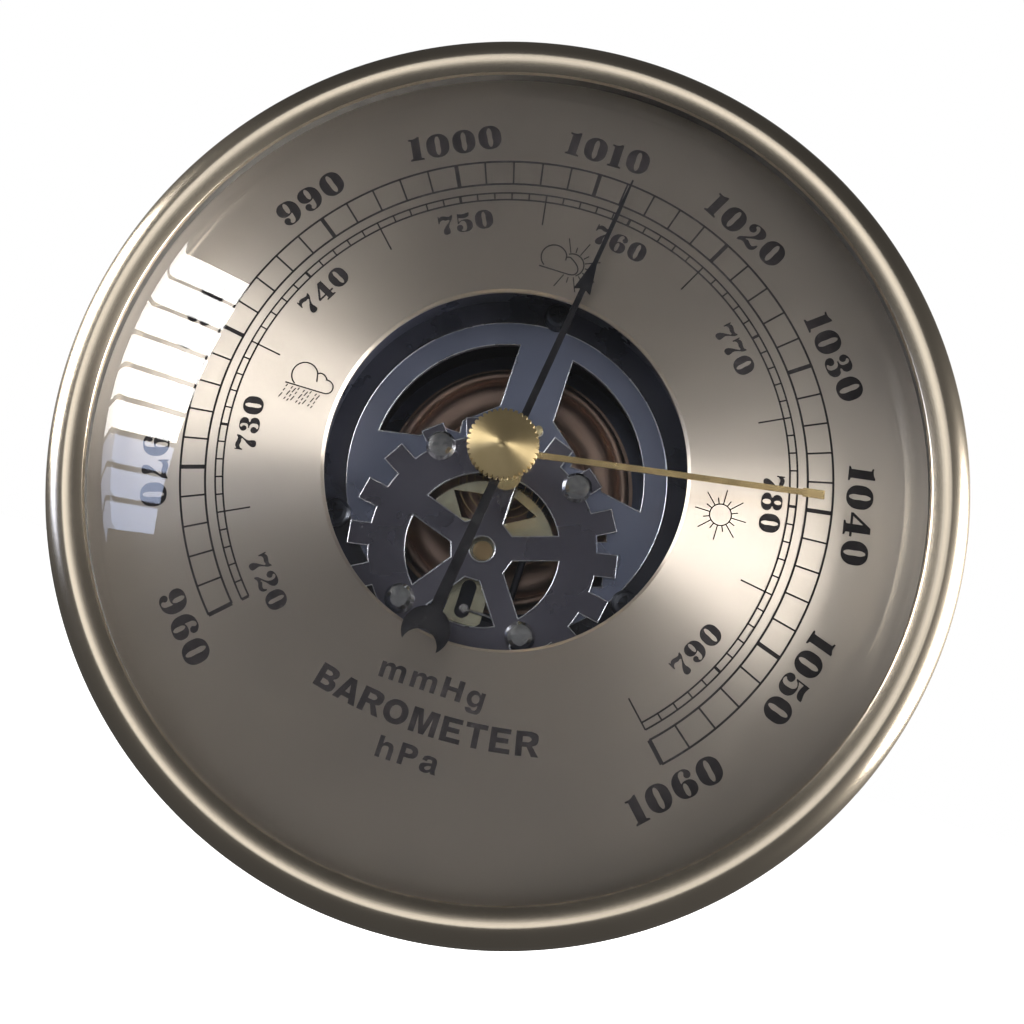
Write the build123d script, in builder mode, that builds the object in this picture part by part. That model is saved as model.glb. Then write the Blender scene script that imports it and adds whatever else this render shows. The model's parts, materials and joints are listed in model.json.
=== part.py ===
"""Wall aneroid barometer with an open-centre dial, as separate pieces in millimetres.

Frame: the origin is the centre of the flat back face, on the axis of the dial and hands.
+Z is up (1010 hPa is at the top of the dial), the dial faces -Y and +X is to the right.
Heights are counted from the back face towards the front, so height h lies at Y = -h.
"""
from build123d import *
from math import asin, cos, degrees, radians, sin, sqrt
import os

os.makedirs("parts", exist_ok=True)

# ---- driving dimensions: case -------------------------------------------------------------
outer_r = 66.0            # largest radius of the rolled bezel
sheet = 0.8               # case sheet
drum_r = 64.4             # outside of the drum
cover_thick = 2.2
dial_front = 30.5         # height of the dial's printed face
dial_thick = 0.8
dial_r = 61.4
window_r = 26.6           # open centre of the dial
lip_r = 59.9              # inner edge of the bezel
lip_height = 35.2
roll_r = 3.4              # radius of the bezel's rolled edge
roll_height = 32.6
crystal_thick = 1.6
crystal_flange = 32.2     # height of the underside of the glass flange
dome_r = 58.3             # where the glass begins to rise
dome_rise = 9.0
crystal_hole = 2.6

# ---- driving dimensions: movement ---------------------------------------------------------
plate_back = 20.8
plate_thick = 1.0
plate_r = 24.9
ring_inner_r = 21.4
bridge_front = 17.6       # front face of the rear bridge
bridge_thick = 1.0
sector_pivot = -12.0      # Z of the sector's arbor, below the hand arbor
gear_ratio = 15
pinion_teeth = 10
module = 2 * abs(sector_pivot) / (pinion_teeth * (1 + gear_ratio))
sector_back = 18.8
sector_thick = 0.8
link_z = sector_pivot - 9.4
shaft_x = 6.2             # rocking shaft, parallel to Z
shaft_height = 14.9
crank_length = 2.2
capsule_r = 21.0
capsule_back_height = 6.4
capsule_depth = 6.5
base_back = 4.0
base_thick = 1.0
screw_spots = ((-11.0, 1.3), (11.0, 1.3), (-9.5, -22.9), (9.5, -22.9))
clamp_circle = 26.8
pillar_circle = 22.6
pillar_r = 1.2
ledge_r = 24.2            # inner edge of the ledge that carries the front plate
adjust_z = 17.0

# ---- driving dimensions: hands ------------------------------------------------------------
degrees_per_hpa = 2.7
reading = 1012.4
set_reading = 1039.3
pointer_angle = (reading - 1010) * degrees_per_hpa
set_angle = (set_reading - 1010) * degrees_per_hpa
pointer_height = 34.3
pointer_thick = 0.3
pointer_length = 46.0
set_hub = 39.5
set_tip = 35.0
set_length = 44.6
knob_base = 43.5
knob_rim = 1.3
knob_tip = 46.0
knob_r = 4.75
stem_r = 1.5

section = Plane(origin=(0, 0, 0), x_dir=(1, 0, 0), z_dir=(0, 0, -1))  # radius, height


def face_at(height):
    """Sketch plane parallel to the dial, seen from the front, at a height above the back."""
    return Plane(origin=(0, -height, 0), x_dir=(1, 0, 0), z_dir=(0, -1, 0))


def turned_face(height, clockwise):
    """The same plane with its own +Y turned clockwise from the top of the dial."""
    a = radians(clockwise)
    return Plane(origin=(0, -height, 0), x_dir=(cos(a), 0, -sin(a)), z_dir=(0, -1, 0))


def on_circle(radius, clockwise):
    """Point at an angle clockwise from the top of the dial."""
    a = radians(clockwise)
    return (radius * sin(a), radius * cos(a))


def ring(inner, outer, low, high):
    """Plain ring about the dial axis between two heights."""
    with BuildPart() as piece:
        with BuildSketch(face_at(low)):
            Circle(outer)
            if inner > 0:
                Circle(inner, mode=Mode.SUBTRACT)
        extrude(amount=high - low)
    return piece


def revolved(points):
    """Ring turned about the dial axis from a closed outline of (radius, height) points."""
    with BuildPart() as piece:
        with BuildSketch(section):
            with BuildLine():
                Polyline(*points, close=True)
            make_face()
        revolve(axis=Axis.Y)
    return piece


def turned(spots, points):
    """Separate turned pieces, one at each (x, z) spot, from one (radius, height) outline."""
    with BuildPart() as piece:
        for x, z in spots:
            own = Plane(origin=(x, 0, z), x_dir=(1, 0, 0), z_dir=(0, 0, -1))
            with BuildSketch(own):
                with BuildLine():
                    Polyline(*points, close=True)
                make_face()
            revolve(axis=Axis((x, 0, z), (0, 1, 0)))
    return piece


def cut_recess(piece, spots, height, size, depth):
    """Cross recess in each screw head, from the face at a height; depth is signed."""
    with BuildSketch(face_at(height)) as cross:
        with Locations(*spots):
            Rectangle(size, size * 0.24, rotation=20)
            Rectangle(size * 0.24, size, rotation=20)
    with piece:
        extrude(cross.sketch, amount=depth, mode=Mode.SUBTRACT)


def pan_screws(spots, seat, head_r, head_height, shank_r, shank_length):
    """Pan-head screws with a cross recess, heads to the front."""
    top = seat + head_height
    low = seat - shank_length
    outline = [(0, low), (shank_r, low), (shank_r, seat), (head_r, seat),
               (head_r, seat + head_height * 0.45), (head_r * 0.8, top - head_height * 0.12),
               (head_r * 0.55, top), (0, top)]
    piece = turned(spots, outline)
    cut_recess(piece, spots, top, head_r * 1.15, -head_height * 0.6)
    return piece


def flush_screws(spots, back, head_r, head_depth, shank_r, length):
    """Countersunk screws driven from the back."""
    outline = [(0, back), (head_r, back), (shank_r, back + head_depth),
               (shank_r, back + length), (0, back + length)]
    piece = turned(spots, outline)
    cut_recess(piece, spots, back, head_r * 1.1, head_depth * 0.6)
    return piece


def drilled(piece, spots, radius, low, high):
    """Round holes along Y through a piece, between two heights."""
    with BuildSketch(face_at(low)) as holes:
        with Locations(*spots):
            Circle(radius)
    with piece:
        extrude(holes.sketch, amount=high - low, mode=Mode.SUBTRACT)


def countersunk(piece, spots, back, head_r, head_depth, shank_r):
    """Seats for flush screws, opening at the back face."""
    for x, z in spots:
        own = Plane(origin=(x, 0, z), x_dir=(1, 0, 0), z_dir=(0, 0, -1))
        with BuildSketch(own) as seat:
            with BuildLine():
                Polyline((0, back - 0.1), (head_r + 0.05, back - 0.1), (head_r + 0.05, back),
                         (shank_r + 0.05, back + head_depth), (0, back + head_depth), close=True)
            make_face()
        with piece:
            revolve(seat.sketch, axis=Axis((x, 0, z), (0, 1, 0)), mode=Mode.SUBTRACT)


# ---- case ---------------------------------------------------------------------------------
# The bezel is spun from sheet: a sloping lip, a rolled outer edge and a skirt whose end is
# curled into the drum's groove.
def on_roll(radius, angle):
    """Point on a circle about the roll's centre, angle up from the outward direction."""
    a = radians(angle)
    return (outer_r - roll_r + radius * cos(a), roll_height + radius * sin(a))


skirt_r = 65.2
roll_in = roll_r - sheet
out_end = -degrees(asin(sqrt(1 - ((skirt_r - outer_r + roll_r) / roll_r) ** 2)))
in_end = -degrees(asin(sqrt(1 - ((skirt_r - sheet - outer_r + roll_r) / roll_in) ** 2)))
with BuildPart() as bezel:
    with BuildSketch(section):
        with BuildLine():
            Line((lip_r, lip_height - sheet), (lip_r, lip_height))
            Line((lip_r, lip_height), on_roll(roll_r, 97))
            ThreePointArc(on_roll(roll_r, 97), on_roll(roll_r, 20), on_roll(roll_r, out_end))
            Polyline(on_roll(roll_r, out_end), (skirt_r, 24.6), (64.1, 23.6), (63.6, 24.2),
                     (skirt_r - sheet, 25.2), on_roll(roll_in, in_end))
            ThreePointArc(on_roll(roll_in, in_end), on_roll(roll_in, 20), on_roll(roll_in, 97))
            Line(on_roll(roll_in, 97), (lip_r, lip_height - sheet))
        make_face()
    revolve(axis=Axis.Y)

# The drum is a rolled tube with a groove near the front.
drum_in = drum_r - sheet
groove_r = 63.2
drum = revolved([(drum_in, 0), (drum_r, 0), (drum_r, 22.2), (groove_r, 23.4), (groove_r, 24.8),
                 (drum_r, 26.0), (drum_r, 33.8), (drum_in, 33.8), (drum_in, 26.3),
                 (groove_r - sheet, 25.1), (groove_r - sheet, 23.1), (drum_in, 21.9)])

# Flat ring welded inside the drum; the back cover is screwed to it.
drum_ring = ring(55.0, drum_in, cover_thick, cover_thick + 1.0)
cover_spots = [on_circle(59.5, 45 + 90 * k) for k in range(4)]
drilled(drum_ring, cover_spots, 1.3, cover_thick - 1, cover_thick + 2)

# Back cover: a flat moulded disc with a keyhole opening, an adjusting hole and a vent.
keyhole_z = 44.5
housing_spots = [on_circle(33.0, 30 + 120 * k) for k in range(3)]
cover = ring(0, 63.3, 0, cover_thick)
countersunk(cover, cover_spots, 0, 2.4, 1.5, 1.25)
countersunk(cover, housing_spots, 0, 2.4, 1.5, 1.25)
drilled(cover, cover_spots + housing_spots, 1.3, 1, cover_thick + 1)
drilled(cover, [(0, adjust_z)], 3.2, -1, cover_thick + 1)
drilled(cover, [(0, -41)], 1.5, -1, cover_thick + 1)
with BuildSketch(face_at(-1)) as keyhole_cut:
    with Locations((0, keyhole_z)):
        SlotOverall(15, 11, rotation=90)
with cover:
    extrude(keyhole_cut.sketch, amount=cover_thick + 2, mode=Mode.SUBTRACT)

# Steel hanger plate with the keyhole itself, riveted inside the cover.
hanger_spots = ((-10.5, keyhole_z), (10.5, keyhole_z))
with BuildPart() as hanger_plate:
    with BuildSketch(face_at(cover_thick)):
        with Locations((0, keyhole_z)):
            RectangleRounded(27, 16, 3)
        with Locations((0, keyhole_z - 2.5)):
            Circle(4.3, mode=Mode.SUBTRACT)
        with Locations((0, keyhole_z + 0.9)):
            SlotOverall(9, 4.4, rotation=90, mode=Mode.SUBTRACT)
        with Locations(*hanger_spots):
            Circle(1.25, mode=Mode.SUBTRACT)
    extrude(amount=1.0)
drilled(cover, hanger_spots, 1.25, -1, cover_thick + 1)
hanger_rivets = turned(hanger_spots, [(0, 0.2), (1.2, 0.2), (1.2, 3.25), (2.1, 3.25),
                                      (1.8, 4.0), (0, 4.2)])
cover_screws = flush_screws(cover_spots, 0, 2.4, 1.5, 1.2, 6.0)
housing_screws = flush_screws(housing_spots, 0, 2.4, 1.5, 1.2, 4.0)

# Ring that carries the dial's edge, on the front of the drum's groove.
dial_seat = revolved([(57, 27.6), (63.5, 26.5), (63.5, dial_front - dial_thick),
                      (57, dial_front - dial_thick)])

# Dial: one disc with an open centre whose front edge is bevelled.
dial_back = dial_front - dial_thick
dial = revolved([(window_r, dial_back), (dial_r, dial_back), (dial_r, dial_front),
                 (window_r + 0.35, dial_front), (window_r, dial_front - 0.35)])

# Spacer between the dial and the glass; its skirt centres the dial.
spacer_ring = revolved([(61.1, dial_front), (dial_r + 0.1, dial_front), (dial_r + 0.1, dial_back),
                        (63.5, dial_back), (63.5, crystal_flange), (61.1, crystal_flange)])

# Domed glass with a flat rim and a centre hole for the knob's bush.
flange_top = crystal_flange + crystal_thick
flange_out = 63.3


def dome(radius, spring, lift):
    """Height of a spherical dome that rises by dome_rise from dome_r."""
    ball = (dome_r ** 2 + dome_rise ** 2) / (2 * dome_rise)
    return spring + dome_rise - ball + sqrt(ball ** 2 - radius ** 2) + lift


def dome_point(radius, spring):
    return (radius, dome(radius, spring, 0))


with BuildPart() as crystal:
    with BuildSketch(section):
        with BuildLine():
            Polyline(dome_point(dome_r, crystal_flange), (flange_out, crystal_flange),
                     (flange_out, flange_top), dome_point(dome_r, flange_top))
            ThreePointArc(dome_point(dome_r, flange_top), dome_point(32, flange_top),
                          dome_point(crystal_hole, flange_top))
            Line(dome_point(crystal_hole, flange_top), dome_point(crystal_hole, crystal_flange))
            ThreePointArc(dome_point(crystal_hole, crystal_flange), dome_point(32, crystal_flange),
                          dome_point(dome_r, crystal_flange))
        make_face()
    revolve(axis=Axis.Y)

gasket = revolved([(60.15, flange_top), (63.3, flange_top), (63.3, 34.95), (62.3, 35.05),
                   (60.15, 34.38)])

# ---- movement housing and frame -----------------------------------------------------------
# Moulded tube that joins the back cover, the movement and the dial's inner edge.
housing_in = 28.5
housing_out = 30.0
ledge_top = plate_back + plate_thick - 0.05
ledge_back = 19.0
housing = revolved([(housing_in, cover_thick), (35.8, cover_thick), (35.8, cover_thick + 2),
                    (housing_out, cover_thick + 2), (housing_out, dial_back),
                    (housing_in, dial_back), (housing_in, ledge_top), (plate_r + 0.1, ledge_top),
                    (plate_r + 0.1, plate_back), (ledge_r, plate_back), (ledge_r, ledge_back),
                    (housing_in, ledge_back)])
clamp_spots = [on_circle(clamp_circle, 120 * k) for k in range(3)]
drilled(housing, housing_spots, 1.25, cover_thick - 1, cover_thick + 3)
drilled(housing, clamp_spots, 1.0, 18, 22)
drilled(housing, clamp_spots, 2.3, ledge_top, ledge_top + 1.9)
drilled(housing, screw_spots[2:], 1.05, 18, 22)
clamp_screws = pan_screws(clamp_spots, plate_back + plate_thick, 2.2, 1.5, 0.95, 3.6)

# Front plate: a ring with one upright bar and a solid lower part.
bar_half = 4.33
opening = [(-14.8, 2.1), (-13.0, 4.4), (-9.0, 4.4), (-9.2, 6.4), (-bar_half, 10.5)]
opening_start = (-bar_half, sqrt(ring_inner_r ** 2 - bar_half ** 2))
opening_end = (-sqrt(ring_inner_r ** 2 - 0.9 ** 2), 0.9)
opening_mid = (-ring_inner_r * cos(radians(40)), ring_inner_r * sin(radians(40)))
pillar_spots = [on_circle(pillar_circle, turn) for turn in (-130, 0, 130)]
with BuildPart() as front_plate:
    with BuildSketch(face_at(plate_back)):
        Circle(plate_r)
        with BuildLine():
            ThreePointArc(opening_start, opening_mid, opening_end)
            Polyline(opening_end, *opening, opening_start)
        upper_left = make_face(mode=Mode.PRIVATE)
        add(upper_left, mode=Mode.SUBTRACT)
        add(mirror(upper_left, about=Plane.YZ, mode=Mode.PRIVATE), mode=Mode.SUBTRACT)
        with Locations((0, sector_pivot)):
            Circle(12.2, mode=Mode.SUBTRACT)
        Circle(2.2, mode=Mode.SUBTRACT)
        with Locations(*screw_spots):
            Circle(1.1, mode=Mode.SUBTRACT)
        with Locations((16.6, -4.9)):
            Rectangle(2.2, 1.2, rotation=20, mode=Mode.SUBTRACT)
        with Locations((17.7, -11.4)):
            Rectangle(2.6, 1.8, rotation=15, mode=Mode.SUBTRACT)
        with Locations((2.6, 8.2)):
            Circle(0.72, mode=Mode.SUBTRACT)
    extrude(amount=plate_thick)

# Cover plate cut like a spoked wheel with blunt teeth, screwed on the front plate.
wheel_root = 17.5
wheel_tip = 20.6
wheel_teeth = 18
spokes = 5
spoke_half = 1.85
leaf_outer = 11.9
leaf_inner = 4.9
leaf_half = 36.0


def leaf_corner(radius, side):
    """Corner of a leaf opening that points along +X, beside a spoke of constant width."""
    a = radians(side * (leaf_half - degrees(asin(spoke_half / radius))))
    return (radius * cos(a), radius * sin(a))


with BuildSketch() as leaf:
    with BuildLine():
        ThreePointArc(leaf_corner(leaf_outer, -1), (leaf_outer, 0), leaf_corner(leaf_outer, 1))
        Line(leaf_corner(leaf_outer, 1), leaf_corner(leaf_inner, 1))
        Line(leaf_corner(leaf_inner, 1), leaf_corner(leaf_inner, -1))
        Line(leaf_corner(leaf_inner, -1), leaf_corner(leaf_outer, -1))
    make_face()
with BuildPart() as wheel_plate:
    with BuildSketch(face_at(plate_back + plate_thick)):
        with Locations((0, sector_pivot)):
            Circle(wheel_root)
            with PolarLocations((wheel_root + wheel_tip) / 2 - 0.2, wheel_teeth, start_angle=90):
                Trapezoid(wheel_tip - wheel_root + 0.4, 3.5, 90, rotation=0)
            with PolarLocations(0, spokes, start_angle=54):
                add(leaf.sketch, mode=Mode.SUBTRACT)
            Circle(2.0, mode=Mode.SUBTRACT)
        Circle(28.0, mode=Mode.INTERSECT)
        Circle(1.5, mode=Mode.SUBTRACT)
        with Locations(*screw_spots):
            Circle(1.1, mode=Mode.SUBTRACT)
        with Locations((2.6, 8.2)):
            Circle(0.72, mode=Mode.SUBTRACT)
    extrude(amount=1.0)
wheel_front = plate_back + plate_thick + 1.0
plate_screws = pan_screws(screw_spots, wheel_front, 2.3, 1.5, 1.05, 4.6)

# Long pillars to the base plate, brazed to the front plate and screwed at the back.
base_front = base_back + base_thick
pillars = turned(pillar_spots, [(0, base_front), (pillar_r, base_front), (pillar_r, plate_back),
                                (0, plate_back)])
drilled(pillars, pillar_spots, 0.75, base_front - 1, base_front + 4)
with BuildPart() as base_plate:
    with BuildSketch(face_at(base_back)):
        Circle(plate_r)
        with Locations(*pillar_spots):
            Circle(0.85, mode=Mode.SUBTRACT)
        with Locations((0, adjust_z)):
            Circle(1.55, mode=Mode.SUBTRACT)
        with Locations((0, -adjust_z)):
            Circle(1.0, mode=Mode.SUBTRACT)
        Circle(3.6, mode=Mode.SUBTRACT)
        with PolarLocations(15.0, 2, start_angle=0):
            SlotOverall(9, 4, rotation=90, mode=Mode.SUBTRACT)
    extrude(amount=base_thick)
base_screws = turned(pillar_spots, [(0, 2.9), (1.6, 2.9), (1.6, base_back), (0.72, base_back),
                                    (0.72, base_front + 3.4), (0, base_front + 3.4)])
cut_recess(base_screws, pillar_spots, 2.9, 2.0, 0.6)

# Rear bridge behind the sector, on four short posts that take the plate screws.
lug_spots_z = (-3.7, -23.5)
post_r = 1.7
lower_post_r = 1.5
bridge_back = bridge_front - bridge_thick
foot = [(0, bridge_back - 0.7), (1.15, bridge_back - 0.7), (1.15, bridge_back),
        (0.9, bridge_back), (0.9, bridge_front)]
posts = turned(screw_spots[:2], foot + [(post_r, bridge_front), (post_r, plate_back),
                                        (0, plate_back)])
drilled(posts, screw_spots[:2], 1.05, 18.0, plate_back + 1)
lower_posts = turned(screw_spots[2:], foot + [(lower_post_r, bridge_front),
                                              (lower_post_r, ledge_back), (0, ledge_back)])
drilled(lower_posts, screw_spots[2:], 1.05, 18.0, ledge_back + 1)
with BuildPart() as rear_bridge:
    with BuildSketch(face_at(bridge_back)):
        with Locations((0, 1.6)):
            Rectangle(22, 3.8)
        with Locations((0, -10.6)):
            Rectangle(3.6, 25)
        with Locations((0, -23.2)):
            Rectangle(19, 2.0)
        with Locations(*screw_spots):
            Circle(2.0)
        with Locations((shaft_x, -2.2)):
            Rectangle(3.0, 4.6)
        with Locations(*screw_spots):
            Circle(0.92, mode=Mode.SUBTRACT)
        Circle(0.5, mode=Mode.SUBTRACT)
        with Locations((0, sector_pivot)):
            Circle(0.75, mode=Mode.SUBTRACT)
    extrude(amount=bridge_thick)
    for lug_z in lug_spots_z:
        with BuildSketch(face_at(shaft_height - 1.3)):
            with Locations((shaft_x, lug_z)):
                Rectangle(2.8, 0.9)
        extrude(amount=bridge_back - shaft_height + 1.3)
    with BuildSketch(Plane.XY.offset(-26)):
        with Locations((shaft_x, -shaft_height)):
            Circle(0.65)
    extrude(amount=26, mode=Mode.SUBTRACT)

# ---- capsule and its adjustment -----------------------------------------------------------
capsule_mid = capsule_back_height + capsule_depth / 2
skin = 0.3
arch_feet = (3.0, 8.1, 13.2, 18.3)   # radii of the grooves between the arched corrugations
arch_rise = 0.9
rim_in = 20.1


def diaphragm(direction):
    """Arched half of the capsule; direction is +1 for the front half, -1 for the back."""
    crown = capsule_mid + direction * (capsule_depth / 2 - skin)
    groove = crown - direction * arch_rise
    rim = capsule_mid + direction * 0.1
    up = direction * skin
    with BuildPart() as half:
        with BuildSketch(section):
            with BuildLine():
                for lift, end in ((0, rim_in - 0.2), (up, rim_in)):
                    Line((0.9, crown + lift), (arch_feet[0] - 1.0, crown + lift))
                    Line((arch_feet[0] - 1.0, crown + lift), (arch_feet[0], groove + lift))
                    feet = arch_feet + (end,)
                    for near, far in zip(feet, feet[1:]):
                        ThreePointArc((near, groove + lift), ((near + far) / 2, crown + lift),
                                      (far, groove + lift))
                Line((0.9, crown), (0.9, crown + up))
                Polyline((rim_in - 0.2, groove), (rim_in, rim), (capsule_r, rim),
                         (capsule_r, rim + up), (rim_in + 0.3, rim + up), (rim_in, groove + up))
            make_face()
        revolve(axis=Axis.Y)
    return half


capsule_front = diaphragm(1)
capsule_rear = diaphragm(-1)
capsule_top = capsule_back_height + capsule_depth
front_boss = turned([(0, 0)], [(0, capsule_top - 1.0), (0.85, capsule_top - 1.0),
                               (0.85, capsule_top), (2.4, capsule_top),
                               (2.4, capsule_top + 0.15), (0, capsule_top + 0.15)])
lever_back = base_front + 0.3
capsule_stud = turned([(0, 0)], [(0, 2.6), (1.2, 2.6), (1.2, 6.15), (2.6, 6.15), (2.6, 6.4),
                                 (0.85, 6.4), (0.85, 7.6), (0, 7.6)])
with BuildPart() as stud_nut:
    with BuildSketch(face_at(3.0)):
        RegularPolygon(2.8, 6)
        Circle(1.2, mode=Mode.SUBTRACT)
    extrude(amount=2.25)
with BuildPart() as adjusting_lever:
    with BuildSketch(face_at(lever_back)):
        SlotCenterToCenter(2 * adjust_z, 6, rotation=90)
        Circle(1.22, mode=Mode.SUBTRACT)
        with Locations((0, -adjust_z)):
            Circle(1.0, mode=Mode.SUBTRACT)
    extrude(amount=0.8)
lever_rivet = turned([(0, -adjust_z)], [(0, 3.3), (1.6, 3.6), (1.6, base_back), (0.95, base_back),
                                        (0.95, lever_back + 0.8), (1.6, lever_back + 0.8),
                                        (1.2, lever_back + 1.1), (0, lever_back + 1.1)])
lever_washer = turned([(0, -adjust_z)], [(1.0, base_front), (2.6, base_front),
                                         (2.6, lever_back), (1.0, lever_back)])
adjusting_screw = turned([(0, adjust_z)], [(0, 1.1), (2.0, 1.1), (2.0, 2.7), (1.5, 2.7),
                                           (1.5, base_front - 0.05), (0.7, base_front - 0.05),
                                           (0, base_front)])
with BuildSketch(face_at(1.1)) as driver_slot:
    with Locations((0, adjust_z)):
        Rectangle(4.2, 0.7)
with adjusting_screw:
    extrude(driver_slot.sketch, amount=0.8, mode=Mode.SUBTRACT)

# Post on the capsule's crown: its strip carries a notch that the crank pin rests in.
crank_x = shaft_x + crank_length
post_low = capsule_top + 1.0
with BuildPart() as capsule_post:
    with BuildSketch(Plane.XY.offset(-0.5)):
        with BuildLine():
            Polyline((-2, -post_low), (crank_x + 1.15, -post_low), (crank_x + 1.15, -post_low - 1.5),
                     (crank_x + 0.75, -post_low - 1.5), (crank_x + 0.75, -post_low - 0.3),
                     (crank_x - 0.75, -post_low - 0.3), (crank_x - 0.75, -post_low - 1.5),
                     (-2, -post_low - 1.5), close=True)
        make_face()
    extrude(amount=1.0)

# ---- train --------------------------------------------------------------------------------
sector_front = sector_back + sector_thick
sector_teeth = 50
pitch_sector = module * pinion_teeth * gear_ratio / 2
pitch_pinion = module * pinion_teeth / 2
tooth_step = 360 / (pinion_teeth * gear_ratio)
fan_half = 62.0
tail_half = 3.0
tail_end = 11.7


def on_sector(radius, clockwise):
    """Point about the sector's arbor, angle clockwise from straight up."""
    a = radians(clockwise)
    return (radius * sin(a), sector_pivot + radius * cos(a))


root_sector = pitch_sector - 0.17
windows = (((2.0, 9.6), (6.4, 7.7), (1.7, 5.0)), ((-2.0, 8.8), (-7.4, 7.9), (-4.9, 4.1), (-2.0, 4.4)))
with BuildPart() as sector_gear:
    with BuildSketch(face_at(sector_back)):
        with BuildLine():
            ThreePointArc(on_sector(root_sector, -fan_half), on_sector(root_sector, 0),
                          on_sector(root_sector, fan_half))
            Polyline(on_sector(root_sector, fan_half), on_sector(3.4, 95), on_sector(4.4, 142),
                     (tail_half, sector_pivot - tail_end + 0.8),
                     (tail_half - 0.8, sector_pivot - tail_end),
                     (-tail_half + 0.8, sector_pivot - tail_end),
                     (-tail_half, sector_pivot - tail_end + 0.8), on_sector(4.4, -142),
                     on_sector(3.4, -95), on_sector(root_sector, -fan_half))
        make_face()
        for tooth in range(sector_teeth):
            turn = (tooth - sector_teeth / 2 + 0.5) * tooth_step
            with Locations(on_sector(root_sector + 0.1, turn)):
                Trapezoid(0.25, 0.42, 76, rotation=-turn)
        for window in windows:
            with BuildLine():
                Polyline(*[(x, sector_pivot + z) for x, z in window], close=True)
            make_face(mode=Mode.SUBTRACT)
        with Locations((-0.3, sector_pivot - 7.9)):
            SlotOverall(6.0, 2.3, rotation=90, mode=Mode.SUBTRACT)
        with Locations((0, sector_pivot)):
            Circle(0.9, mode=Mode.SUBTRACT)
    extrude(amount=sector_thick)
sector_arbor = turned([(0, sector_pivot)],
                      [(0, 16.0), (0.7, 16.0), (0.7, bridge_front + 0.3), (1.7, bridge_front + 0.3),
                       (1.7, sector_back), (0.9, sector_back), (0.9, sector_front),
                       (1.5, sector_front), (1.5, 20.6), (0, 20.6)])
pinion_r = pitch_pinion
pinion_root = pinion_r - 0.21
hub_low = 33.2
with BuildPart() as pinion_arbor:
    with BuildSketch(face_at(16.2)):
        Circle(0.45)
    extrude(amount=hub_low - 16.2)
    with BuildSketch(face_at(18.5)):
        Circle(pinion_root)
        with PolarLocations(pinion_root + 0.09, pinion_teeth, start_angle=-90):
            Trapezoid(0.24, 0.36, 78, rotation=-90)
    extrude(amount=1.4)
    with BuildSketch(face_at(hub_low)):
        Circle(0.45)
    extrude(amount=2.6)
arbor_bush = turned([(0, 0)], [(0.5, plate_back + plate_thick), (1.5, plate_back + plate_thick),
                               (1.5, wheel_front), (2.4, wheel_front), (2.4, wheel_front + 0.6),
                               (0.5, wheel_front + 0.6)])
collet = turned([(0, 0)], [(0.46, 17.95), (1.2, 17.95), (1.2, 18.4), (0.46, 18.4)])

# Hairspring: a flat spiral from the collet to the stud.
coils = 5.25
spring_in = 1.25
spring_out = sqrt(2.6 ** 2 + 8.2 ** 2) - 0.55
spring_half = 0.06
stud_turn = degrees(asin(2.6 / sqrt(2.6 ** 2 + 8.2 ** 2)))


def spiral(offset):
    """Points of the spiral, moved outwards by an offset, ending beside the stud."""
    steps = 84
    points = []
    for k in range(steps + 1):
        radius = spring_in + (spring_out - spring_in) * k / steps + offset
        points.append(on_circle(radius, stud_turn - 360 * coils * (1 - k / steps)))
    return points


with BuildPart() as hairspring:
    with BuildSketch(face_at(18.0)):
        with BuildLine():
            inner_side = spiral(0)
            outer_side = spiral(2 * spring_half)
            Spline(*inner_side)
            Line(inner_side[-1], outer_side[-1])
            Spline(*reversed(outer_side))
            Line(outer_side[0], inner_side[0])
        make_face()
    extrude(amount=0.35)
hairspring_stud = turned([(2.6, 8.2)], [(0, 17.8), (0.45, 17.8), (0.45, 18.5), (0.7, 18.7),
                                        (0.7, wheel_front + 0.5), (0, wheel_front + 0.7)])

# Rocking shaft with its crank at the top and its drive arm at the bottom.
with BuildPart() as rocking_shaft:
    with BuildSketch(Plane.XY.offset(-24.6)):
        with Locations((shaft_x, -shaft_height)):
            Circle(0.6)
    extrude(amount=22.6)
    with BuildSketch(Plane.XY.offset(-2.8)):
        with Locations((shaft_x + crank_length / 2, -shaft_height)):
            SlotCenterToCenter(crank_length, 1.4)
    extrude(amount=0.8)
    with BuildSketch(Plane.XY.offset(-2.4)):
        with Locations((crank_x, -shaft_height)):
            Circle(0.35)
    extrude(amount=3.0)
drive_tip = 19.0
with BuildPart() as drive_arm:
    with BuildSketch(Plane.XY.offset(link_z - 0.45)):
        with Locations((shaft_x, -(shaft_height + drive_tip) / 2)):
            SlotCenterToCenter(drive_tip - shaft_height, 1.3, rotation=90)
        with Locations((shaft_x, -shaft_height)):
            Circle(0.6, mode=Mode.SUBTRACT)
    extrude(amount=0.9)
    with BuildSketch(face_at(drive_tip)):
        with Locations((shaft_x, link_z)):
            Circle(0.4)
    extrude(amount=1.65)
link_height = 20.15
drive_link = turned([(0, link_z)], [(0, 18.6), (0.45, 18.6), (0.45, 19.75), (0.75, 19.85),
                                    (0.75, 20.45), (0.5, 20.6), (0, 20.6)])
with BuildSketch(Plane.YZ.offset(0.4)) as link_wire:
    with Locations((-link_height, link_z)):
        Circle(0.25)
with BuildSketch(face_at(link_height - 0.3)) as link_eye:
    with Locations((shaft_x, link_z)):
        Circle(1.3)
        Circle(0.75, mode=Mode.SUBTRACT)
with drive_link:
    extrude(link_wire.sketch, amount=shaft_x - 1.4)
    extrude(link_eye.sketch, amount=0.6)

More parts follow.
